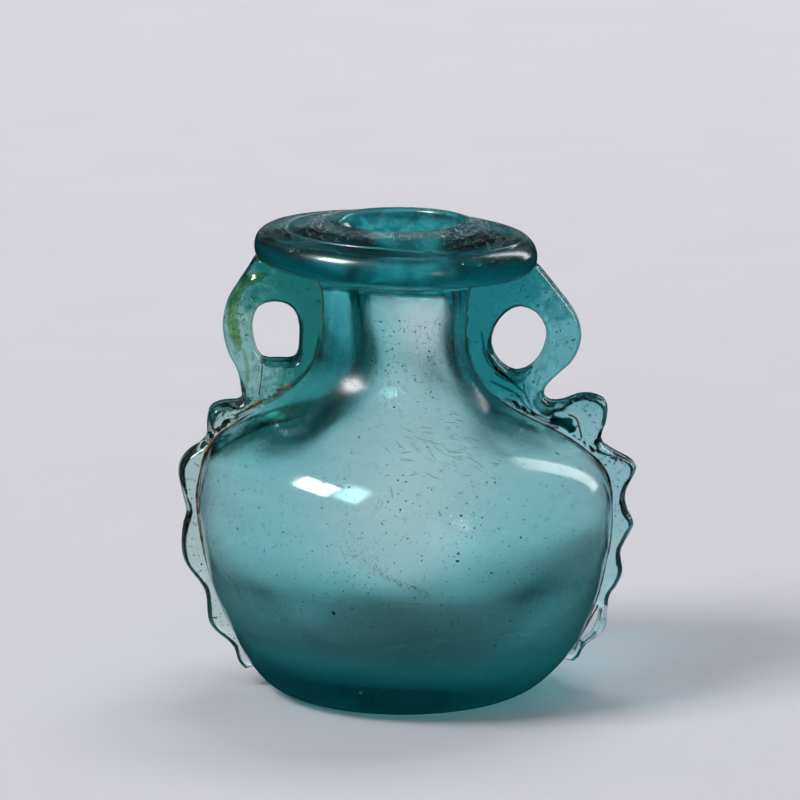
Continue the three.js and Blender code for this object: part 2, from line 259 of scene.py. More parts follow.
# What marks the handles' front faces: corners of (x, z) in millimetres, stroke radius, and, inside
# the glass, depth under the face
OLIVE_STREAKS = [
    ([(-20.9, 67.5), (-23.7, 66.8), (-25.4, 65.2), (-26.3, 63.2), (-26.6, 61.0), (-26.5, 58.7),
      (-26.1, 56.7), (-25.6, 54.9)], 0.75, 1.3),
    ([(-25.2, 56.0), (-24.6, 53.5), (-24.3, 51.5), (-24.6, 49.0), (-25.6, 46.6), (-27.6, 45.0)],
     0.3, 0.6),
]
DARK_STREAKS = [
    ([(12.5, 56.2), (13.7, 53.0), (16.7, 50.9), (18.7, 49.2), (19.8, 47.9)], 0.22, 0.35),
    ([(13.7, 50.6), (16.6, 49.1), (18.3, 48.4), (19.3, 46.6), (21.1, 45.2)], 0.2, 0.35),
    ([(12.4, 58.8), (13.0, 55.4), (14.6, 52.4), (16.0, 51.6)], 0.2, 0.4),
    ([(19.2, 50.4), (19.4, 48.4), (20.8, 45.6)], 0.18, 0.35),
    ([(23.2, 44.2), (25.0, 43.8), (26.6, 43.0), (27.4, 41.9)], 0.75, 1.2),
    ([(24.6, 43.6), (26.3, 44.0), (27.2, 43.4)], 0.6, 1.2),
]
LEFT_DIRT = [
    ([(-20.2, 48.9), (-18.6, 49.4), (-17.2, 50.2)], 0.22),
    ([(-24.6, 45.8), (-23.2, 46.8), (-22.0, 47.6)], 0.24),
    ([(-22.5, 53.6), (-21.9, 53.4), (-21.3, 53.3)], 0.35),
    ([(-22.0, 53.4), (-22.3, 50.6), (-22.6, 48.0)], 0.10),
]
RIGHT_DIRT = [
    ([(26.0, 45.1), (27.6, 44.7), (28.2, 42.6), (28.5, 40.9)], 0.16),
    ([(31.1, 14.0), (31.3, 11.8), (28.6, 8.8), (27.5, 5.9)], 0.14),
]

# The skin of the glass: the size of its clouds, grains and drawn cords, its specks as (spacing,
# radius, share of places with one) and their tint, what the grain adds to the dullness, and the
# cords' share of the relief
CLOUD_CELL = 9 * MM
GRAIN_CELL = 0.35 * MM
CORD_CELL = 1 * MM
SKIN_SPECKS = (0.9 * MM, 0.05 * MM, 0.4)
SPECK_TINT = (0.16, 0.2, 0.17)
GRAIN_DULLNESS = 0.06
CORD_SHARE = 0.75

# Shares of red, green and blue that weathered or deeply coloured places let through
BAND_TINT = (0.06, 0.6, 0.6)
HAZE_TINT = (0.62, 0.62, 0.64)
MOUTH_TINT = (0.12, 0.66, 0.68)
MOUTH_DARK_TINT = (0.01, 0.22, 0.24)
GATHERED_TINT = (0.6, 0.8, 0.74)

# Dullness of the film in the hollow, at its bottom and its belly and at its shoulder and its neck,
# and of the rim's underside and its upper skin, and of the neck's outside
FILM_BELOW = (0.55, 0.1)
FILM_ABOVE = (0.1, 0.22)
RIM_DULLNESS = (0.4, 0.3)
NECK_DULLNESS = 0.24
HAZE_DULLNESS = (0.2, 0.35)

# Soft steps on the vessel's skin from their start to their end, first the ones in height, then
# the ones in distance from the axis, and one in distance to the right
FILM_BELOW_STEP = (12 * MM, 27 * MM)
FILM_ABOVE_STEP = (39 * MM, 49 * MM)
SHOULDER_STEP = (43 * MM, 48 * MM)
NECK_FOOT_STEP = (45 * MM, 49 * MM)
NECK_MIDDLE_STEP = (58 * MM, 62 * MM)
NECK_TOP_STEP = (60 * MM, 66 * MM)
THROAT_STEP = (62 * MM, 68 * MM)
RIM_FOOT_STEP = (66 * MM, 67 * MM)
COAT_STEP = (68 * MM, 69 * MM)
RIM_ROLL_STEP = (69 * MM, 71 * MM)
RIM_TOP_STEP = (72.6 * MM, 73.4 * MM)
MOUTH_WALL_STEP = (MOUTH_RADIUS, MOUTH_RADIUS + 0.8 * MM)
RIM_ROOT_STEP = (12 * MM, 13 * MM)
GREY_RING_STEP = (12.6 * MM, 14.4 * MM)
BAND_STEP = (17.2 * MM, 18.2 * MM)
LEFT_STEP = (-14 * MM, -9 * MM)
# Where painted shade darkens a handle loop: out from the neck, and up towards the rim
NECK_SHADE_STEP = (13 * MM, 25 * MM)
RIM_SHADE_STEP = (57 * MM, 66 * MM)
MOUTH_CLOUD = 3.2 * MM
LOOP_CLOUD = 2.2 * MM

# Where each handle meets the flask: side, lowest height and highest height
JOINT_ENDS = [(-1, 2.6 * MM, 69.9 * MM), (1, 4.2 * MM, 68.7 * MM)]

# Drawn ridges on the handles' front faces, as corners of (x, z) in millimetres
LEFT_RIDGES = [[(-23.6, 66.6), (-22.8, 67.0), (-21.5, 66.8), (-20.2, 66.1)]]
RIGHT_RIDGES = [[(24.1, 56.6), (23.3, 54.9), (22.1, 52.9), (21.3, 51.6), (21.1, 50.1)]]

# A smear on the front of the hollow, from a blot on the left down to the right
SMEAR = [(-9.0, 30.3), (-8.0, 29.6), (-7.0, 29.3), (-5.8, 28.4), (-2.6, 25.6), (1.2, 23.9),
         (4.0, 22.5)]

# Quads round the vessel, the size of the quads on the handles and the spacing of points along a
# drawn line
SEGMENTS = 228
QUAD_SIZE = 0.24 * MM
LINE_STEP = 0.2 * MM

# The smallest radius of a speck, of a grain of dust on the rim, and of a grain of earth on the
# hollow's floor and in its smear
SPECK_RADIUS = 0.045 * MM
DUST_RADIUS = 0.04 * MM
EARTH_RADIUS = 0.045 * MM
SMEAR_RADIUS = 0.024 * MM

WALL = wall_profile()
RIM_EDGE = rim_edge_profile()
RIM_TOP = rim_top_profile()


def with_drift(profile, stations):
    return np.column_stack([profile, drift_at(stations, profile[:, 1])])


# Slow swells and dents that blowing leaves: waves of (turns round, waves per metre upwards, phase,
# height), the shorter ones lower
OUTER_WAVES = [(2, 20, 0.4, 0.10), (3, -35, 2.1, 0.07), (5, 60, 4.0, 0.04), (9, -90, 1.2, 0.015)]
INNER_WAVES = [(2, 30, 1.9, 0.10), (4, -50, 0.3, 0.07), (7, 70, 3.3, 0.04), (11, -40, 5.0, 0.025),
               (17, 110, 2.2, 0.01)]


def waves(rows, angle, z):
    total = 0
    for turns, upward, phase, size in rows:
        total = total + size * MM * np.sin(turns * angle + 2 * math.pi * upward * z + phase)
    return total


# Hot glass has no sudden bends: a line of (distance, height, drift) evened out along its length
# by a bell curve, with both ends kept
def softened(line, width):
    lengths = np.concatenate([[0], np.cumsum(np.linalg.norm(np.diff(line[:, :2], axis=0), axis=1))])
    step = 0.12 * MM
    places = np.arange(0, lengths[-1], step)
    even = np.stack([np.interp(places, lengths, column) for column in line.T], axis=1)
    reach = int(4 * width / step)
    bell = np.exp(-0.5 * (np.arange(-reach, reach + 1) * step / width) ** 2)
    before = 2 * even[0] - even[reach:0:-1]
    after = 2 * even[-1] - even[-2:-reach - 2:-1]
    padded = np.concatenate([before, even, after])
    soft = np.stack([np.convolve(column, bell / bell.sum(), "valid") for column in padded.T],
                    axis=1)
    return np.stack([np.interp(lengths, places, column) for column in soft.T], axis=1)


# The vessel's whole section in one line: the underside from the middle outwards, the outer wall,
# the rim, the lip, and the hollow from the mouth down to the middle of its floor. It is given at
# the sides, in front and behind, with the drift, the share of outer and of inner waves that each
# point takes, and whether it lies on the rim's top.
def vessel_section():
    underside_radius = np.linspace(0, FOOT_RADIUS, 12)[:-1]
    inward = 1 - share(underside_radius, 0.35 * FOOT_RADIUS, 0.8 * FOOT_RADIUS)
    underside = np.stack([underside_radius, FOOT_HOLLOW * ease(inward)], axis=1)
    outside = with_drift(np.concatenate([underside, WALL, RIM_EDGE, RIM_TOP]), OUTER_DRIFT)
    on_wall = slice(len(underside), len(underside) + len(WALL))
    outside[on_wall] = softened(outside[on_wall], SURFACE_TENSION)
    insides = [softened(with_drift(hollow, HOLLOW_DRIFT), SURFACE_TENSION)[::-1]
               for hollow in (side_hollow(), front_hollow(), back_hollow())]
    at_side, in_front, behind = (np.concatenate([outside, inside]) for inside in insides)
    r, z, drift = at_side.T
    is_inside = np.arange(len(r)) >= len(outside)
    is_top = (np.arange(len(r)) >= len(underside) + len(WALL) + len(RIM_EDGE)) & ~is_inside
    over_lip = ease(share(r, MOUTH_RADIUS + 3 * LIP_WIDTH, MOUTH_RADIUS)) * is_top
    drift = lerp(drift, drift_at(HOLLOW_DRIFT, z), over_lip)
    outer_share = ~is_inside * ease(share(z, 1 * MM, 12 * MM)) * ease(1 - share(z, 66 * MM, 71 * MM))
    outer_share = outer_share * share(r, 0, FLOOR_RADIUS)
    inner_share = is_inside * ease(share(r, 2 * MM, 11 * MM)) * ease(1 - share(z, 60 * MM, 70 * MM))
    return (at_side[:, :2], in_front[:, :2], behind[:, :2]), drift, outer_share, inner_share, is_top


# How far each ring of the vessel's section lies inside the hollow, from nothing at the lip
def hollowness(section):
    at_side = section[0][0]
    is_inside = np.arange(len(at_side)) > np.argmax(at_side[:, 1])
    return is_inside * ease(share(at_side[:, 1], HEIGHT - 1 * MM, HEIGHT - MOUTH_DEPTH))


# How much the rim is lowered at a point, from nothing at the neck's top to the rim's right edge
def droop(x, y, z):
    on_rim = ease(share(z, NECK_HEIGHT, RIM_UNDERSIDE))
    reach = on_rim * share(np.hypot(x, y), MOUTH_RADIUS, RIM_RADIUS)
    return RIM_DROOP * reach * x / RIM_RADIUS


def revolve(section):
    (at_side, in_front, behind), drift, outer_share, inner_share, is_top = section
    along = np.gradient(at_side, axis=0)
    along = along / np.linalg.norm(along, axis=1, keepdims=True)
    normal = np.stack([along[:, 1], -along[:, 0]], axis=1)
    angle = np.linspace(0, 2 * math.pi, SEGMENTS, endpoint=False)[None, :]
    to_front = np.minimum(np.sin(angle), 0) ** 2
    to_back = np.maximum(np.sin(angle), 0) ** 2
    radius, height = (at_side[:, i, None] + (in_front - at_side)[:, i, None] * to_front
                      + (behind - at_side)[:, i, None] * to_back for i in (0, 1))
    swell = outer_share[:, None] * waves(OUTER_WAVES, angle, height)
    swell = swell - inner_share[:, None] * waves(INNER_WAVES, angle, height)
    body_share = ease(share(height, 8 * MM, 20 * MM)) * ease(share(height, 46 * MM, 36 * MM))
    swell = swell + DIAGONAL_WALL * (inner_share > 0)[:, None] * body_share * np.sin(2 * angle) ** 2
    crease_radius = lerp(CREASE_RADIUS, CREASE_RADIUS_RIGHT, ease(share(np.cos(angle), -0.2, 0.8)))
    crease = is_top[:, None] * np.exp(-(((radius - crease_radius) / CREASE_WIDTH) ** 2))
    swell = swell - CREASE_DEPTH * crease
    r = radius + normal[:, :1] * swell
    x = r * np.cos(angle)
    y = r * np.sin(angle)
    z = height + normal[:, 1:] * swell
    z = z - droop(x, y, z)
    return np.stack([x + drift[:, None], y, z], axis=2)


def new_object(name, points, faces):
    mesh = bpy.data.meshes.new(name)
    mesh.from_pydata([tuple(point) for point in points], [], faces)
    mesh.validate()
    mesh.polygons.foreach_set("use_smooth", [True] * len(mesh.polygons))
    piece = bpy.data.objects.new(name, mesh)
    bpy.context.scene.collection.objects.link(piece)
    return piece


# The vessel as one closed skin. The first and last points of the section lie on the axis.
def make_vessel():
    section = vessel_section()
    rings = revolve(section)
    first = rings[0].mean(axis=0)
    last = rings[-1].mean(axis=0)
    body = rings[1:-1]
    count = len(body)
    points = np.concatenate([body.reshape(-1, 3), [first, last]])
    ring, step = np.meshgrid(np.arange(count - 1), np.arange(SEGMENTS), indexing="ij")
    a = (ring * SEGMENTS + step).ravel()
    b = (ring * SEGMENTS + (step + 1) % SEGMENTS).ravel()
    faces = np.stack([a, b, b + SEGMENTS, a + SEGMENTS], axis=1).tolist()
    top = (count - 1) * SEGMENTS
    for j in range(SEGMENTS):
        k = (j + 1) % SEGMENTS
        faces.append([k, j, count * SEGMENTS])
        faces.append([top + j, top + k, count * SEGMENTS + 1])
    vessel = new_object("flask_vessel", points, faces)
    hollow = np.concatenate([np.repeat(hollowness(section)[1:-1], SEGMENTS), [0, 1]])
    vessel.data.attributes.new("hollow", "FLOAT", "POINT").data.foreach_set("value", hollow)
    return vessel


# A CAD node's mesh with its corners welded, remade in fine even quads
def fine_copy(node, name, voxel):
    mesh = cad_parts[node].data.copy()
    rough = bpy.data.objects.new(name + "_rough", mesh)
    bpy.context.scene.collection.objects.link(rough)
    weld = rough.modifiers.new("weld", "WELD")
    weld.merge_threshold = 0.002 * MM
    remesh = rough.modifiers.new("remesh", "REMESH")
    remesh.mode = "VOXEL"
    remesh.voxel_size = voxel
    evaluated = rough.evaluated_get(bpy.context.evaluated_depsgraph_get())
    fine = bpy.data.meshes.new_from_object(evaluated)
    fine.materials.clear()
    bpy.data.objects.remove(rough)
    piece = bpy.data.objects.new(name, fine)
    bpy.context.scene.collection.objects.link(piece)
    fine.polygons.foreach_set("use_smooth", [True] * len(fine.polygons))
    return piece


def vectors_of(items, key, kind=float, width=3):
    flat = np.empty(len(items) * width, kind)
    items.foreach_get(key, flat)
    return flat.reshape(-1, width)


def points_of(piece):
    return vectors_of(piece.data.vertices, "co")


def set_points(piece, points):
    piece.data.vertices.foreach_set("co", np.ascontiguousarray(points).ravel())
    piece.data.update()


# Evens out a skin without shrinking it: each round pulls a point to its neighbours' middle, then
# pushes it back a little further.
def relax(points, edges, rounds):
    count = len(points)
    degree = np.bincount(edges.ravel(), minlength=count)[:, None]
    for pull in (0.55, -0.57) * rounds:
        total = np.empty_like(points)
        for i in range(3):
            total[:, i] = (np.bincount(edges[:, 0], points[edges[:, 1], i], count)
                           + np.bincount(edges[:, 1], points[edges[:, 0], i], count))
        points = points + pull * (total / degree - points)
    return points


# Sinks the seat of a handle a hair into the vessel's wall, so that the two are one glass, and
# draws the last of its sides down after it
def settle(points, wall):
    sink = 0.05 * MM
    reach = 0.9 * MM
    settled = points.copy()
    for i, point in enumerate(points):
        near, normal, _, distance = wall.find_nearest(Vector(point), 2 * reach)
        if near is None:
            continue
        above = (Vector(point) - near).dot(normal)
        if above < reach:
            give = 1 - ease(float(share(above, SEAT_GAP, reach)))
            settled[i] -= np.array(normal) * (SEAT_GAP + sink) * give
    return settled


# How far each point of a handle lies in from the handle's free edge, seen from the front
def depth_from_edge(points, normals, wall):
    edge = [i for i in np.flatnonzero(np.abs(normals[:, 1]) < 0.35)
            if wall.find_nearest(Vector(points[i]), 0.7 * MM)[0] is None]
    tree = KDTree(len(edge))
    for slot, i in enumerate(edge):
        tree.insert((points[i, 0], 0, points[i, 2]), slot)
    tree.balance()
    return np.array([tree.find((x, 0, z))[2] for x, _, z in points])


# A trailed thread of glass is round, not a slab: its front and back faces rise from the free edge
# to a flat dome. They swell a little here and there, and carry fine cords that follow the edge.
def rounded(points, normals, wall):
    roll_reach = 1.1 * MM
    dome_reach = 3.4 * MM
    inward = depth_from_edge(points, normals, wall)
    roll = np.sqrt(1 - (1 - share(inward, 0, roll_reach)) ** 2)
    dome = np.sqrt(1 - (1 - share(inward, 0, dome_reach)) ** 2)
    soft = points.copy()
    soft[:, 1] *= lerp(0.5, 1, roll) * lerp(0.72, 1, dome)
    cell = 3.2 * MM
    swell = np.array([solid_noise.noise(Vector((x, 3 * cell * math.copysign(1, y), z)) / cell)
                      for x, y, z in points])
    cords = 0.045 * MM * np.sin(2 * math.pi * (inward + 0.3 * MM * swell) / (0.85 * MM))
    cords = cords * share(inward, 1.4 * MM, 2.0 * MM)
    soft[:, 1] += np.sign(soft[:, 1]) * (0.3 * MM * swell * dome + cords)
    return soft


# Raises a thin ridge on a handle's front along each line of corners
def ridged(points, ridges):
    height = 0.5 * MM
    width = 0.5 * MM
    raised = points.copy()
    for corners in ridges:
        line = resample([(x * MM, 0, z * MM) for x, z in corners], LINE_STEP)
        gap = np.min([np.hypot(points[:, 0] - x, points[:, 2] - z) for x, _, z in line], axis=0)
        raised[:, 1] -= (points[:, 1] < 0) * height * np.exp(-((gap / width) ** 2))
    return raised


def make_handle(node, name, wall, ridges):
    piece = fine_copy(node, name, QUAD_SIZE)
    edges = vectors_of(piece.data.edges, "vertices", int, 2)
    set_points(piece, relax(points_of(piece), edges, 14))
    points = rounded(points_of(piece), vectors_of(piece.data.vertex_normals, "vector"), wall)
    points = ridged(relax(points, edges, 3), ridges)
    set_points(piece, settle(points, wall))
    return piece


# Node helpers

def add(tree, kind, inputs=None, **settings):
    node = tree.nodes.new(kind)
    for key, value in settings.items():
        setattr(node, key, value)
    for key, value in (inputs or {}).items():
        if isinstance(value, bpy.types.NodeSocket):
            tree.links.new(value, node.inputs[key])
        else:
            node.inputs[key].default_value = value
    return node


def math_node(tree, operation, a, b=0.0):
    return add(tree, "ShaderNodeMath", {0: a, 1: b}, operation=operation).outputs[0]


def product(tree, first, *others):
    for other in others:
        first = math_node(tree, "MULTIPLY", first, other)
    return first


def ramp_between(tree, value, low, high, out_low=0.0, out_high=1.0):
    return add(tree, "ShaderNodeMapRange", {"Value": value, "From Min": low, "From Max": high,
                                            "To Min": out_low, "To Max": out_high},
               interpolation_type="SMOOTHSTEP").outputs["Result"]


def noise(tree, coordinates, cell, detail=2.0, roughness=0.5):
    return add(tree, "ShaderNodeTexNoise", {"Vector": coordinates, "Scale": 1 / cell, "Detail": detail,
                                            "Roughness": roughness}).outputs["Fac"]


def stretched(tree, coordinates, x, y, z):
    return add(tree, "ShaderNodeVectorMath", {0: coordinates, 1: (x, y, z)},
               operation="MULTIPLY").outputs[0]


def mix_color(tree, factor, a, b):
    node = add(tree, "ShaderNodeMix", {"Factor": factor}, data_type="RGBA")
    for socket, value in ((node.inputs[6], a), (node.inputs[7], b)):
        if isinstance(value, bpy.types.NodeSocket):
            tree.links.new(value, socket)
        else:
            socket.default_value = (*value, 1)
    return node.outputs[2]


# Tiny dark spots: the middles of some cells of a Voronoi pattern
def spots(tree, coordinates, cell, radius, kept):
    voronoi = add(tree, "ShaderNodeTexVoronoi", {"Vector": coordinates, "Scale": 1 / cell})
    chance = add(tree, "ShaderNodeSeparateColor", {"Color": voronoi.outputs["Color"]}).outputs[0]
    edge = radius / cell
    near = ramp_between(tree, voronoi.outputs["Distance"], edge, 1.6 * edge, 1.0, 0.0)
    chosen = math_node(tree, "LESS_THAN", chance, kept)
    return math_node(tree, "MULTIPLY", near, chosen)


def new_material(name):
    material = bpy.data.materials.new(name)
    material.use_nodes = True
    tree = material.node_tree
    coordinates = add(tree, "ShaderNodeTexCoord").outputs["Object"]
    return material, tree, tree.nodes["Principled BSDF"], coordinates


# Lets light through, and takes a share of red, green and blue from it for each metre
def absorb(tree, shader, absorbed):
    shader.inputs["Transmission Weight"].default_value = 1.0
    density = max(absorbed)
    passed = [1 - value / density for value in absorbed]
    volume = add(tree, "ShaderNodeVolumeAbsorption", {"Color": (*passed, 1), "Density": density})
    tree.links.new(volume.outputs[0], tree.nodes["Material Output"].inputs["Volume"])


# Glass that swallows red over its thickness, with a pitted, slightly dulled skin
def glass_material(name, absorbed, dull, streak, relief, dressing):
    material, tree, shader, coordinates = new_material(name)
    shader.inputs["IOR"].default_value = 1.5
    absorb(tree, shader, absorbed)
    cloud = noise(tree, coordinates, CLOUD_CELL, 2.0, 0.6)
    grain = noise(tree, coordinates, GRAIN_CELL, 1.0, 0.7)
    cord = noise(tree, stretched(tree, coordinates, *streak), CORD_CELL, 1.0, 0.5)
    specks = spots(tree, coordinates, *SKIN_SPECKS)
    color = mix_color(tree, specks, (1, 1, 1), SPECK_TINT)
    roughness = math_node(tree, "ADD", ramp_between(tree, cloud, 0.35, 0.7, *dull),
                          ramp_between(tree, grain, 0.55, 0.75, 0.0, GRAIN_DULLNESS))
    roughness, color = dressing(tree, coordinates, cloud, roughness, color)
    height = math_node(tree, "ADD", math_node(tree, "MULTIPLY", grain, 1 - CORD_SHARE),
                       math_node(tree, "MULTIPLY", cord, CORD_SHARE))
    bump = add(tree, "ShaderNodeBump", {"Strength": 1.0, "Distance": relief, "Height": height})
    tree.links.new(color, shader.inputs["Base Color"])
    tree.links.new(roughness, shader.inputs["Roughness"])
    tree.links.new(bump.outputs["Normal"], shader.inputs["Normal"])
    return material


# A smooth skin over the dulled glass of the rim, which keeps its highlights
def coat_rim(material):
    tree = material.node_tree
    shader = tree.nodes["Principled BSDF"]
    coordinates = add(tree, "ShaderNodeTexCoord").outputs["Object"]
    _, height = radius_and_height(tree, coordinates)
    tree.links.new(ramp_between(tree, height, *COAT_STEP), shader.inputs["Coat Weight"])
    shader.inputs["Coat Roughness"].default_value = 0.16


# How far from the flask's axis a point lies, and how high
def radius_and_height(tree, coordinates):
    position = add(tree, "ShaderNodeSeparateXYZ", {"Vector": coordinates}).outputs
    squares = [math_node(tree, "MULTIPLY", position[axis], position[axis]) for axis in "XY"]
    return math_node(tree, "SQRT", math_node(tree, "ADD", *squares)), position["Z"]


# The rim's top is weathered grey round the mouth, and deepest in colour between there and its
# crease. Clouds thicken the grey.
def weathered_rim(tree, radius, height, cloud, color):
    top = ramp_between(tree, height, *RIM_TOP_STEP)
    in_ring = product(tree, top, ramp_between(tree, radius, *GREY_RING_STEP, 1.0, 0.0))
    in_band = product(tree, top, ramp_between(tree, radius, *BAND_STEP, 1.0, 0.0))
    color = mix_color(tree, in_band, color, BAND_TINT)
    color = mix_color(tree, in_ring, color, HAZE_TINT)
    return color, product(tree, in_ring, ramp_between(tree, cloud, 0.3, 0.6, *HAZE_DULLNESS))


# The mouth's own wall is deep in colour and cloudy.
def clouded_mouth(tree, coordinates, radius, height, color):
    inside = product(tree, ramp_between(tree, radius, *MOUTH_WALL_STEP, 1.0, 0.0),
                     ramp_between(tree, height, *THROAT_STEP))
    clouds = noise(tree, coordinates, MOUTH_CLOUD, 2.0)
    mouth = mix_color(tree, ramp_between(tree, clouds, 0.42, 0.56), MOUTH_TINT, MOUTH_DARK_TINT)
    return mix_color(tree, inside, color, mouth)


# Glass has gathered where the left handle meets the neck.
def gathered_glass(tree, sideways, height, color):
    gathered = product(tree, ramp_between(tree, sideways, *LEFT_STEP, 1.0, 0.0),
                       ramp_between(tree, height, *SHOULDER_STEP),
                       ramp_between(tree, height, *NECK_TOP_STEP, 1.0, 0.0))
    return mix_color(tree, gathered, color, GATHERED_TINT)


# Roughness of the film that lies on the hollow's skin, thickest at its bottom and in its neck
def hollow_film(tree, height):
    hollow = add(tree, "ShaderNodeAttribute", attribute_name="hollow").outputs["Fac"]
    film = math_node(tree, "MAXIMUM", ramp_between(tree, height, *FILM_BELOW_STEP, *FILM_BELOW),
                     ramp_between(tree, height, *FILM_ABOVE_STEP, *FILM_ABOVE))
    return product(tree, hollow, film, ramp_between(tree, height, *THROAT_STEP, 1.0, 0.0))


def rim_dullness(tree, radius, height):
    return product(tree, ramp_between(tree, height, *RIM_FOOT_STEP),
                   ramp_between(tree, radius, *RIM_ROOT_STEP),
                   ramp_between(tree, height, *RIM_ROLL_STEP, *RIM_DULLNESS))


def neck_dullness(tree, height):
    return product(tree, ramp_between(tree, height, *NECK_FOOT_STEP),
                   ramp_between(tree, height, *NECK_MIDDLE_STEP, NECK_DULLNESS, 0.0))


def vessel_dressing(tree, coordinates, cloud, roughness, color):
    radius, height = radius_and_height(tree, coordinates)
    sideways = add(tree, "ShaderNodeSeparateXYZ", {"Vector": coordinates}).outputs["X"]
    color, haze = weathered_rim(tree, radius, height, cloud, color)
    color = clouded_mouth(tree, coordinates, radius, height, color)
    color = gathered_glass(tree, sideways, height, color)
    for dullness in (hollow_film(tree, height), rim_dullness(tree, radius, height),
                     neck_dullness(tree, height)):
        roughness = math_node(tree, "MAXIMUM", roughness, dullness)
    return math_node(tree, "ADD", roughness, haze), color


# The glass of a loop is deeper in colour than the trail it was drawn out to, deeper still in random
# clouds. It is also painted darker next to the neck and towards the rim: painted shade where the loop
# meets the neck and lies under the rim.
def loop_tone_and_shade(light, deep):
    def dressing(tree, coordinates, cloud, roughness, color):
        radius, height = radius_and_height(tree, coordinates)
        loop = ramp_between(tree, height, *SHOULDER_STEP)
        clouds = noise(tree, coordinates, LOOP_CLOUD, 3.0, 0.65)
        # Painted shade: the loop is made darker close to the neck and higher up under the rim.
        near = ramp_between(tree, radius, *NECK_SHADE_STEP, 0.34, -0.08)
        high = ramp_between(tree, height, *RIM_SHADE_STEP, 0.0, 0.22)
        tone_and_shade = math_node(tree, "ADD", clouds, math_node(tree, "ADD", near, high))
        toned_and_shaded = mix_color(tree, ramp_between(tree, tone_and_shade, 0.4, 0.72), light, deep)
        return roughness, mix_color(tree, loop, color, toned_and_shaded)
    return dressing


def trail_glass(name, absorbed, dull, light, deep):
    return glass_material(name, absorbed, dull, (1, 0.3, 0.4), 0.09 * MM, loop_tone_and_shade(light, deep))


def finish_piece(piece, slot, material, *nodes):
    piece.data.materials.append(material)
    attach(piece, "root")
    if nodes:
        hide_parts(*nodes)


# Half a handle's thickness, from the thin tail up to the full loop
def half_thickness(z):
    return lerp(TRAIL_THICKNESS, LOOP_THICKNESS, ease(share(z, 0, SHOULDER_HEIGHT))) / 2


# A soft-edged stroke along a line of points, thicker and thinner along the way
def stroke(points, radii, sides=7):
    points = np.asarray(points, float)
    along = np.gradient(points, axis=0)
    along = along / np.linalg.norm(along, axis=1, keepdims=True)
    side = np.cross(along, UP)
    side = side / np.maximum(np.linalg.norm(side, axis=1, keepdims=True), 1e-9)
    third = np.cross(side, along)
    vertices = []
    for i, radius in enumerate(radii):
        for j in range(sides):
            turn = 2 * math.pi * j / sides
            vertices.append(points[i] + radius * (math.cos(turn) * side[i] + math.sin(turn) * third[i]))
    faces = []
    for i in range(len(points) - 1):
        for j in range(sides):
            k = (j + 1) % sides
            faces.append([i * sides + k, i * sides + j, (i + 1) * sides + j, (i + 1) * sides + k])
    faces.append(list(range(sides)))
    faces.append([(len(points) - 1) * sides + j for j in reversed(range(sides))])
    return vertices, faces


def object_of(name, parts):
    points = []
    faces = []
    for some_points, some_faces in parts:
        offset = len(points)
        points.extend(some_points)
        faces.extend([[index + offset for index in face] for face in some_faces])
    return new_object(name, points, faces)


# Where a line first meets a skin, and the skin's normal there
def first_hit(skin, start, direction):
    near, normal, _, _ = skin.ray_cast(Vector(start), Vector(direction))
    return near, normal


# Where a handle's front or back face meets the wall and the rim, from its tail to its top
def joint_line(side, face, low, high):
    line = []
    for r, z in np.concatenate([WALL, RIM_EDGE]):
        if not low <= z <= high:
            continue
        half = float(half_thickness(z)) + 0.04 * MM
        x = side * math.sqrt(r * r - half * half)
        line.append((x + float(drift_at(OUTER_DRIFT, z)), face * half, z - float(droop(x, half, z))))
    return line


def resample(line, step):
    line = np.array(line)
    lengths = np.concatenate([[0], np.cumsum(np.linalg.norm(np.diff(line, axis=0), axis=1))])
    count = max(int(lengths[-1] / step), 2)
    places = np.linspace(0, lengths[-1], count)
    return np.stack([np.interp(places, lengths, line[:, i]) for i in range(3)], axis=1)


# A line of dirt along each joint of a handle with the flask, thick and thin along the way
def make_joint_dirt(extra_lines):
    random = np.random.default_rng(11)
    spacing = 0.35 * MM
    evened = 9
    parts = []
    for side, low, high in JOINT_ENDS:
        for face in (-1, 1):
            line = resample(joint_line(side, face, low, high), spacing)
            draws = random.normal(0, 1, len(line) + evened - 1)
            rough = np.convolve(draws, np.ones(evened) / math.sqrt(evened), "valid")
            radii = (0.15 + 0.05 * rough).clip(0.05, 0.28) * MM
            parts.append(stroke(line, radii))
    for skin, corners, radius in extra_lines:
        parts.append(tapered(face_line(skin, corners, 0), radius * MM))
    return object_of("joint_dirt", parts)


# A line of (x, z) corners in millimetres, rounded off and laid on the front of a skin at a depth
def face_line(skin, corners, depth):
    line = resample([(x * MM, 0, z * MM) for x, z in corners], LINE_STEP)
    reach = 4
    padded = np.concatenate([line[:1].repeat(reach, 0), line, line[-1:].repeat(reach, 0)])
    window = np.ones(2 * reach + 1) / (2 * reach + 1)
    even = np.stack([np.convolve(column, window, "valid") for column in padded.T], axis=1)
    placed = []
    for x, _, z in even:
        near, _ = first_hit(skin, (x, -2 * BODY_RADIUS, z), (0, 1, 0))
        if near is not None:
            placed.append(np.array(near + Vector((0, depth, 0))))
    return placed


def tapered(line, radius):
    if len(line) < 3:
        return [], []
    ends = np.sin(np.linspace(0.12, math.pi - 0.12, len(line)))
    return stroke(line, radius * np.minimum(1, 2.5 * ends))


# A flat lens of grime lying on a surface, long and narrow along a direction in it
def fleck(center, normal, along, length, width, height):
    normal = np.array(normal)
    along = along - normal * np.dot(along, normal)
    along = along / np.linalg.norm(along)
    across = np.cross(normal, along)
    points = [center + normal * height, center - normal * height]
    for i in range(6):
        turn = math.pi * i / 3
        points.append(center + along * length * math.cos(turn) + across * width * math.sin(turn))
    faces = []
    for i in range(6):
        a = 2 + i
        b = 2 + (i + 1) % 6
        faces.append([0, a, b])
        faces.append([1, b, a])
    return points, faces


# Most grains are near the smallest radius, and a few are much larger.
def grain_size(random, smallest, spread):
    return smallest * math.exp(abs(random.normal(0, spread)))


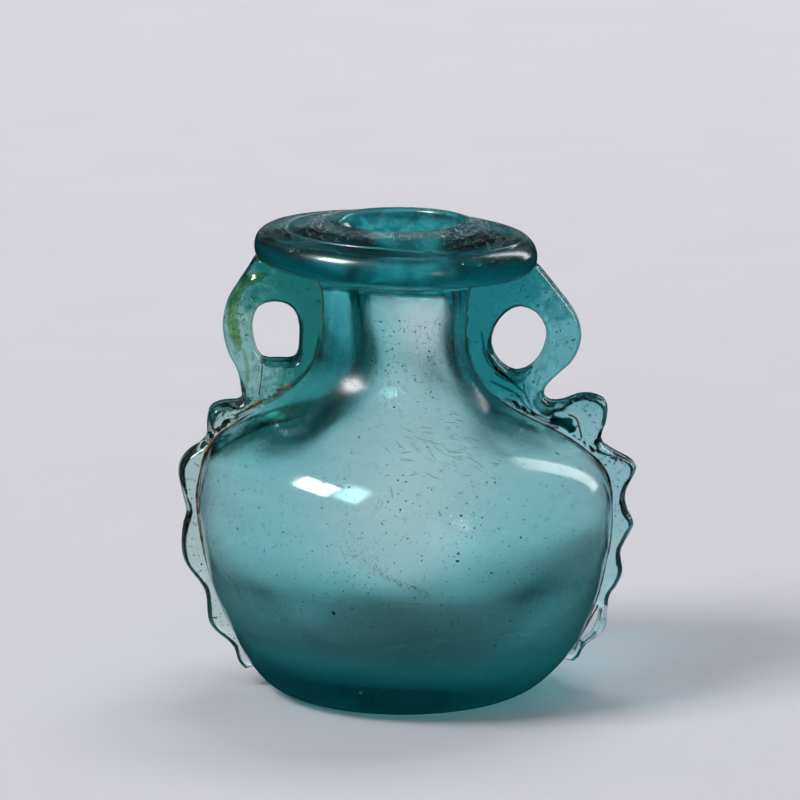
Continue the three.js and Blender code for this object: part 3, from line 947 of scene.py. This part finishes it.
# A grain lying on a surface, turned at random
def grain_on(random, near, normal, smallest, spread, longer=1.5, flatter=0.35):
    size = grain_size(random, smallest, spread)
    along = random.normal(0, 1, 3)
    return fleck(np.array(near), normal, along, longer * size, size, flatter * size)


# The first point of the vessel that a line from outside meets, at a height and an angle round it
def outer_hit(wall, angle, z):
    outward = Vector((math.cos(angle), math.sin(angle), 0))
    return first_hit(wall, outward * 2 * BODY_RADIUS + Vector((0, 0, z)), -outward)


def inner_hit(wall, angle, z):
    return first_hit(wall, (0, 0, z), (math.cos(angle), math.sin(angle), 0))


# Pits and specks of burial grime over the whole skin, most of them as small as grains of dust,
# thicker in drifts on the shoulder and the sides
def make_specks(wall):
    random = np.random.default_rng(5)
    tries = 11000
    inner_share = 0.3
    drift_size = 7 * MM
    parts = []
    for _ in range(tries):
        angle = random.uniform(0, 2 * math.pi)
        z = random.uniform(3 * MM, 62 * MM)
        inside = random.random() < inner_share
        size = grain_size(random, SPECK_RADIUS, 0.5)
        drift = solid_noise.noise(Vector((3 * math.cos(angle), 3 * math.sin(angle), z / drift_size)))
        along = random.normal(0, 1, 3)
        if random.random() > 0.65 + 0.6 * drift:
            continue
        near, normal = (inner_hit if inside else outer_hit)(wall, angle, z)
        if near is not None:
            parts.append(fleck(np.array(near), normal, along, 1.5 * size, size, 0.35 * size))
    return object_of("pits_and_specks", parts)


# Pits on a handle's front and back faces
def make_handle_pits(name, skin, side, seed):
    random = np.random.default_rng(seed)
    tries = 2600
    parts = []
    for _ in range(tries):
        x = side * random.uniform(11, 37) * MM
        z = random.uniform(5, 70) * MM
        face = random.choice((-1, 1))
        near, normal = first_hit(skin, (x, face * BODY_RADIUS, z), (0, -face, 0))
        if near is not None:
            parts.append(grain_on(random, near, normal, SPECK_RADIUS, 0.45))
    return object_of(name, parts)


# Pale lime dust on the rim's top: at both ends, and in a ring round the mouth
def make_rim_dust(wall):
    random = np.random.default_rng(41)
    tries = 7000
    middle = 0.3 * LEAN
    parts = []
    for number in range(tries):
        angle = random.uniform(0, 2 * math.pi)
        if number % 3:
            radius = random.uniform(13, 22.1) * MM
            if random.random() > 0.15 + 0.85 * math.cos(angle) ** 2:
                continue
        else:
            radius = random.normal(12.4, 1.0) * MM
        start = (middle + radius * math.cos(angle), radius * math.sin(angle), 2 * HEIGHT)
        near, normal = first_hit(wall, start, (0, 0, -1))
        if near is not None and near.z >= RIM_WIDEST_HEIGHT - RIM_DROOP:
            parts.append(grain_on(random, near, normal, DUST_RADIUS, 0.35, 1.4, 0.3))
    return object_of("rim_dust", parts)


# Hairline scratches: thin, slightly bent strokes that lie along the skin, most of them in a band
# over the front of the shoulder
def make_scratches(wall):
    random = np.random.default_rng(23)
    count = 210
    count_on_shoulder = 120
    steps = 9
    parts = []
    for number in range(count):
        if number < count_on_shoulder:
            angle = -math.pi / 2 + random.normal(0.48, 0.34)
            z = random.normal(43.6, 1.6) * MM
            heading = random.normal(-0.35, 0.35)
            length = random.uniform(0.4, 2.2) * MM
        else:
            angle = random.uniform(0, 2 * math.pi)
            z = random.uniform(8, 60) * MM
            heading = random.uniform(-math.pi, math.pi)
            length = random.uniform(0.4, 1.6) * MM
        bend = random.normal(0, 120)
        line = []
        for step in np.linspace(-0.5, 0.5, steps):
            run = step * length
            side = run * math.cos(heading) + bend * run * run
            rise = run * math.sin(heading)
            start, _ = outer_hit(wall, angle, z + rise)
            if start is None:
                break
            radius = math.hypot(start.x, start.y)
            near, _ = outer_hit(wall, angle + side / radius, z + rise)
            line.append(np.array(near))
        if len(line) == steps:
            taper = np.sin(np.linspace(0.15, math.pi - 0.15, steps))
            parts.append(stroke(line, random.uniform(0.022, 0.042) * MM * taper, 5))
    return object_of("hairline_scratches", parts)


# Coloured glass drawn out inside a handle: strokes of (corners, radius, depth) under its face
def make_streaks(name, skin, rows):
    return object_of(name, [tapered(face_line(skin, corners, depth * MM), radius * MM)
                            for corners, radius, depth in rows])


# The line a little way in from the free edge of a trail, in millimetres
def edge_line(skin, side, low, high, inset):
    line = []
    for z in np.arange(low, high, 0.25):
        near, _ = first_hit(skin, (side * 2 * BODY_RADIUS, 0, z * MM), (-side, 0, 0))
        if near is not None:
            line.append((near.x / MM - side * inset, z))
    return line


# Glass that only takes colour from what passes through it, since glass lies all round it
def streak_material(name, absorbed):
    material, tree, shader, coordinates = new_material(name)
    shader.inputs["IOR"].default_value = 1.0
    absorb(tree, shader, absorbed)
    fibres = noise(tree, stretched(tree, coordinates, 1, 1, 0.3), 0.5 * MM, 3.0, 0.6)
    color = mix_color(tree, ramp_between(tree, fibres, 0.3, 0.7), (1, 1, 1), (0.72, 0.78, 0.7))
    tree.links.new(color, shader.inputs["Base Color"])
    shader.inputs["Roughness"].default_value = 0.05
    return material


# Earth left on the floor of the hollow and in a smear on the front of its wall: drifts of fine grains
def make_sediment(wall):
    random = np.random.default_rng(31)
    count = 4600
    count_on_floor = 4000
    smear = resample([(x * MM, 0, z * MM) for x, z in SMEAR], 0.5 * MM)
    parts = []
    for number in range(count):
        on_floor = number < count_on_floor
        if on_floor:
            x, y = random.normal((0.8, 1.0), (4.6, 5.4)) * MM
            near, normal = first_hit(wall, (x, y, BELLY_HEIGHT), (0, 0, -1))
        else:
            x, _, z = smear[random.integers(len(smear))]
            spread = lerp(1.3, 0.3, share(x, -8 * MM, -3 * MM)) * MM
            x, z = random.normal((x, z), spread)
            near, normal = first_hit(wall, (x, 0, z), (0, -1, 0))
        smallest = EARTH_RADIUS if on_floor else SMEAR_RADIUS
        parts.append(grain_on(random, near, normal, smallest, 0.45, 1.3, 0.3))
    return object_of("hollow_sediment", parts)


def dirt_material(name, dark, light):
    material, tree, shader, coordinates = new_material(name)
    patches = noise(tree, coordinates, 2.5 * MM, 3.0, 0.6)
    grain = noise(tree, coordinates, 0.15 * MM, 2.0)
    color = mix_color(tree, ramp_between(tree, patches, 0.38, 0.62), dark, light)
    tree.links.new(color, shader.inputs["Base Color"])
    tree.links.new(ramp_between(tree, grain, 0.3, 0.7, 0.75, 0.95), shader.inputs["Roughness"])
    bump = add(tree, "ShaderNodeBump", {"Strength": 1.0, "Distance": 0.03 * MM, "Height": grain})
    tree.links.new(bump.outputs["Normal"], shader.inputs["Normal"])
    return material


# The studio has a pale round floor that turns up into a low wall far out, a soft pale sky, one big
# soft light from the front left, a light on the floor behind, and two that make glints.
def make_floor():
    flat = 1.1
    bend = 0.9
    steps = 12
    around = 96
    gap = 0.03 * MM
    rings = [(0.0, 0.0), (0.15, 0.0), (0.5, 0.0), (flat, 0.0)]
    for turn in np.linspace(0, math.pi / 2, steps + 1)[1:]:
        rings.append((flat + bend * math.sin(turn), bend * (1 - math.cos(turn))))
    points = [(0, 0, -gap)]
    for r, z in rings[1:]:
        for j in range(around):
            turn = 2 * math.pi * j / around
            points.append((r * math.cos(turn), r * math.sin(turn), z - gap))
    faces = [[0, 1 + j, 1 + (j + 1) % around] for j in range(around)]
    for i in range(len(rings) - 2):
        for j in range(around):
            k = (j + 1) % around
            low = 1 + i * around
            faces.append([low + j, low + around + j, low + around + k, low + k])
    floor = new_object("studio_floor", points, faces)
    material, tree, shader, coordinates = new_material("pale_floor")
    grain = noise(tree, coordinates, 30 * MM, 1.0)
    color = mix_color(tree, grain, (0.44, 0.435, 0.465), (0.46, 0.455, 0.485))
    tree.links.new(color, shader.inputs["Base Color"])
    shader.inputs["Roughness"].default_value = 0.8
    shader.inputs["Specular IOR Level"].default_value = 0.2
    floor.data.materials.append(material)
    floor.visible_glossy = False


# A soft grey room, a little brighter at one end than at the other
def make_sky(front, back):
    world = bpy.data.worlds.new("soft_sky")
    world.use_nodes = True
    tree = world.node_tree
    direction = add(tree, "ShaderNodeTexCoord").outputs["Generated"]
    deep = add(tree, "ShaderNodeSeparateXYZ", {"Vector": direction}).outputs["Y"]
    color = mix_color(tree, ramp_between(tree, deep, -0.5, 0.6), front, back)
    tree.links.new(color, tree.nodes["Background"].inputs["Color"])
    world.cycles_visibility.glossy = False
    bpy.context.scene.world = world


def aim(thing, target):
    direction = Vector(target) - thing.location
    thing.rotation_euler = direction.to_track_quat("-Z", "Y").to_euler()


# A soft light seen from the flask's middle at an angle left of the camera and above the floor.
# Its glow is its brightness.
def make_softbox(name, left, above, distance, size, glow):
    middle = 0.04
    data = bpy.data.lights.new(name, "AREA")
    data.shape = "RECTANGLE"
    data.size, data.size_y = size
    data.energy = glow * math.pi * size[0] * size[1]
    light = bpy.data.objects.new(name, data)
    bpy.context.scene.collection.objects.link(light)
    turn = math.radians(left)
    rise = math.radians(above)
    light.location = (-distance * math.sin(turn) * math.cos(rise),
                      -distance * math.cos(turn) * math.cos(rise),
                      middle + distance * math.sin(rise))
    aim(light, (0, 0, middle))
    light.visible_camera = False
    return light


# A tall light that is only seen as a glint on the glass
def make_glint(name, left, above, distance, size, glow):
    light = make_softbox(name, left, above, distance, size, glow)
    light.visible_diffuse = False
    light.visible_transmission = False


# A light that falls on the floor and wall behind the flask alone
def make_back_light(glow):
    light = make_softbox("back_light", 200, 62, 2.0, (1.2, 0.8), glow)
    aim(light, (0.5, 1.7, 0.1))
    light.visible_glossy = False
    light.visible_transmission = False


# The camera looks down a little on the flask, from far enough off to keep it nearly parallel.
def make_camera():
    distance = 0.956
    elevation = math.radians(12)
    target = Vector((-0.317 * MM, 0, 46.75 * MM))
    view_width = 126.96 * MM
    data = bpy.data.cameras.new("camera")
    data.sensor_width = 36
    data.lens = data.sensor_width * distance / view_width
    data.clip_start = 0.01
    camera = bpy.data.objects.new("camera", data)
    bpy.context.scene.collection.objects.link(camera)
    camera.location = target + distance * Vector((0, -math.cos(elevation), math.sin(elevation)))
    aim(camera, target)
    bpy.context.scene.camera = camera


# Light needs many bounces to get through the walls and the handles.
def make_studio():
    scene = bpy.context.scene
    scene.view_settings.view_transform = "Standard"
    for kind in ("max", "transmission", "glossy"):
        setattr(scene.cycles, kind + "_bounces", 7)
    scene.cycles.diffuse_bounces = 2
    scene.cycles.use_light_tree = False
    scene.cycles.blur_glossy = 0.0
    scene.cycles.sample_clamp_indirect = 0.0
    make_camera()
    make_sky((0.43, 0.43, 0.445), (0.41, 0.41, 0.42))
    make_softbox("softbox_left", left=62, above=46, distance=2.5, size=(0.9, 0.85), glow=23)
    make_back_light(glow=10)
    make_glint("edge_light", left=-137, above=24, distance=2.5, size=(0.42, 1.9), glow=4)
    make_glint("front_glint", left=-34, above=9, distance=1.0, size=(0.11, 0.28), glow=2.5)
    make_floor()


def skin_of(piece):
    return BVHTree.FromObject(piece, bpy.context.evaluated_depsgraph_get())


def make_flask():
    vessel = make_vessel()
    wall = skin_of(vessel)
    left = make_handle("handle_left", "left_handle_glass", wall, LEFT_RIDGES)
    right = make_handle("handle_right", "right_handle_glass", wall, RIGHT_RIDGES)
    body_glass = glass_material("blue_green_glass", absorbed=(152, 42, 38), dull=(0.08, 0.15),
                                streak=(1, 1, 0.1), relief=0.006 * MM, dressing=vessel_dressing)
    # Each trail glass's deep colour also carries the painted shade next to the neck and under the rim.
    pale_glass = trail_glass("pale_green_glass", absorbed=(115, 50, 58), dull=(0.08, 0.2),
                             light=(0.6, 0.82, 0.8), deep=(0.04, 0.32, 0.31))
    blue_glass = trail_glass("blue_trail_glass", absorbed=(170, 60, 50), dull=(0.06, 0.18),
                             light=(0.5, 0.8, 0.8), deep=(0.06, 0.4, 0.41))
    coat_rim(body_glass)
    finish_piece(vessel, "vessel_glass", body_glass, "vessel")
    finish_piece(left, "pale_trail_glass", pale_glass, "handle_left")
    finish_piece(right, "blue_trail_glass", blue_glass, "handle_right")
    return wall, skin_of(left), skin_of(right)


def make_colour_in_handles(left_skin, right_skin):
    olive = streak_material("olive_streak_glass", absorbed=(420, 280, 800))
    dark = streak_material("dark_streak_glass", absorbed=(6000, 2400, 2300))
    along_edge = edge_line(left_skin, side=-1, low=5, high=44, inset=0.8)
    olive_rows = OLIVE_STREAKS + [(along_edge, 0.2, 0.3)]
    finish_piece(make_streaks("olive_streaks", left_skin, olive_rows), "pale_trail_glass", olive)
    finish_piece(make_streaks("dark_streaks", right_skin, DARK_STREAKS), "blue_trail_glass", dark)


def make_deposits(wall, left_skin, right_skin):
    dirt = dirt_material("brown_dirt", (0.02, 0.012, 0.006), (0.20, 0.10, 0.035))
    grime = dirt_material("dark_grime", (0.03, 0.065, 0.065), (0.08, 0.1, 0.085))
    lime = dirt_material("lime_dust", (0.45, 0.50, 0.50), (0.72, 0.74, 0.72))
    earth = dirt_material("floor_earth", (0.05, 0.035, 0.02), (0.16, 0.11, 0.06))
    extra_lines = ([(left_skin, *row) for row in LEFT_DIRT]
                   + [(right_skin, *row) for row in RIGHT_DIRT])
    for deposit, material in (
            (make_joint_dirt(extra_lines), dirt),
            (make_specks(wall), grime),
            (make_scratches(wall), grime),
            (make_handle_pits("left_handle_pits", left_skin, -1, 61), grime),
            (make_handle_pits("right_handle_pits", right_skin, 1, 62), grime),
            (make_rim_dust(wall), lime),
            (make_sediment(wall), earth)):
        finish_piece(deposit, "burial_deposit", material)


make_studio()
skins = make_flask()
make_colour_in_handles(*skins[1:])
make_deposits(*skins)
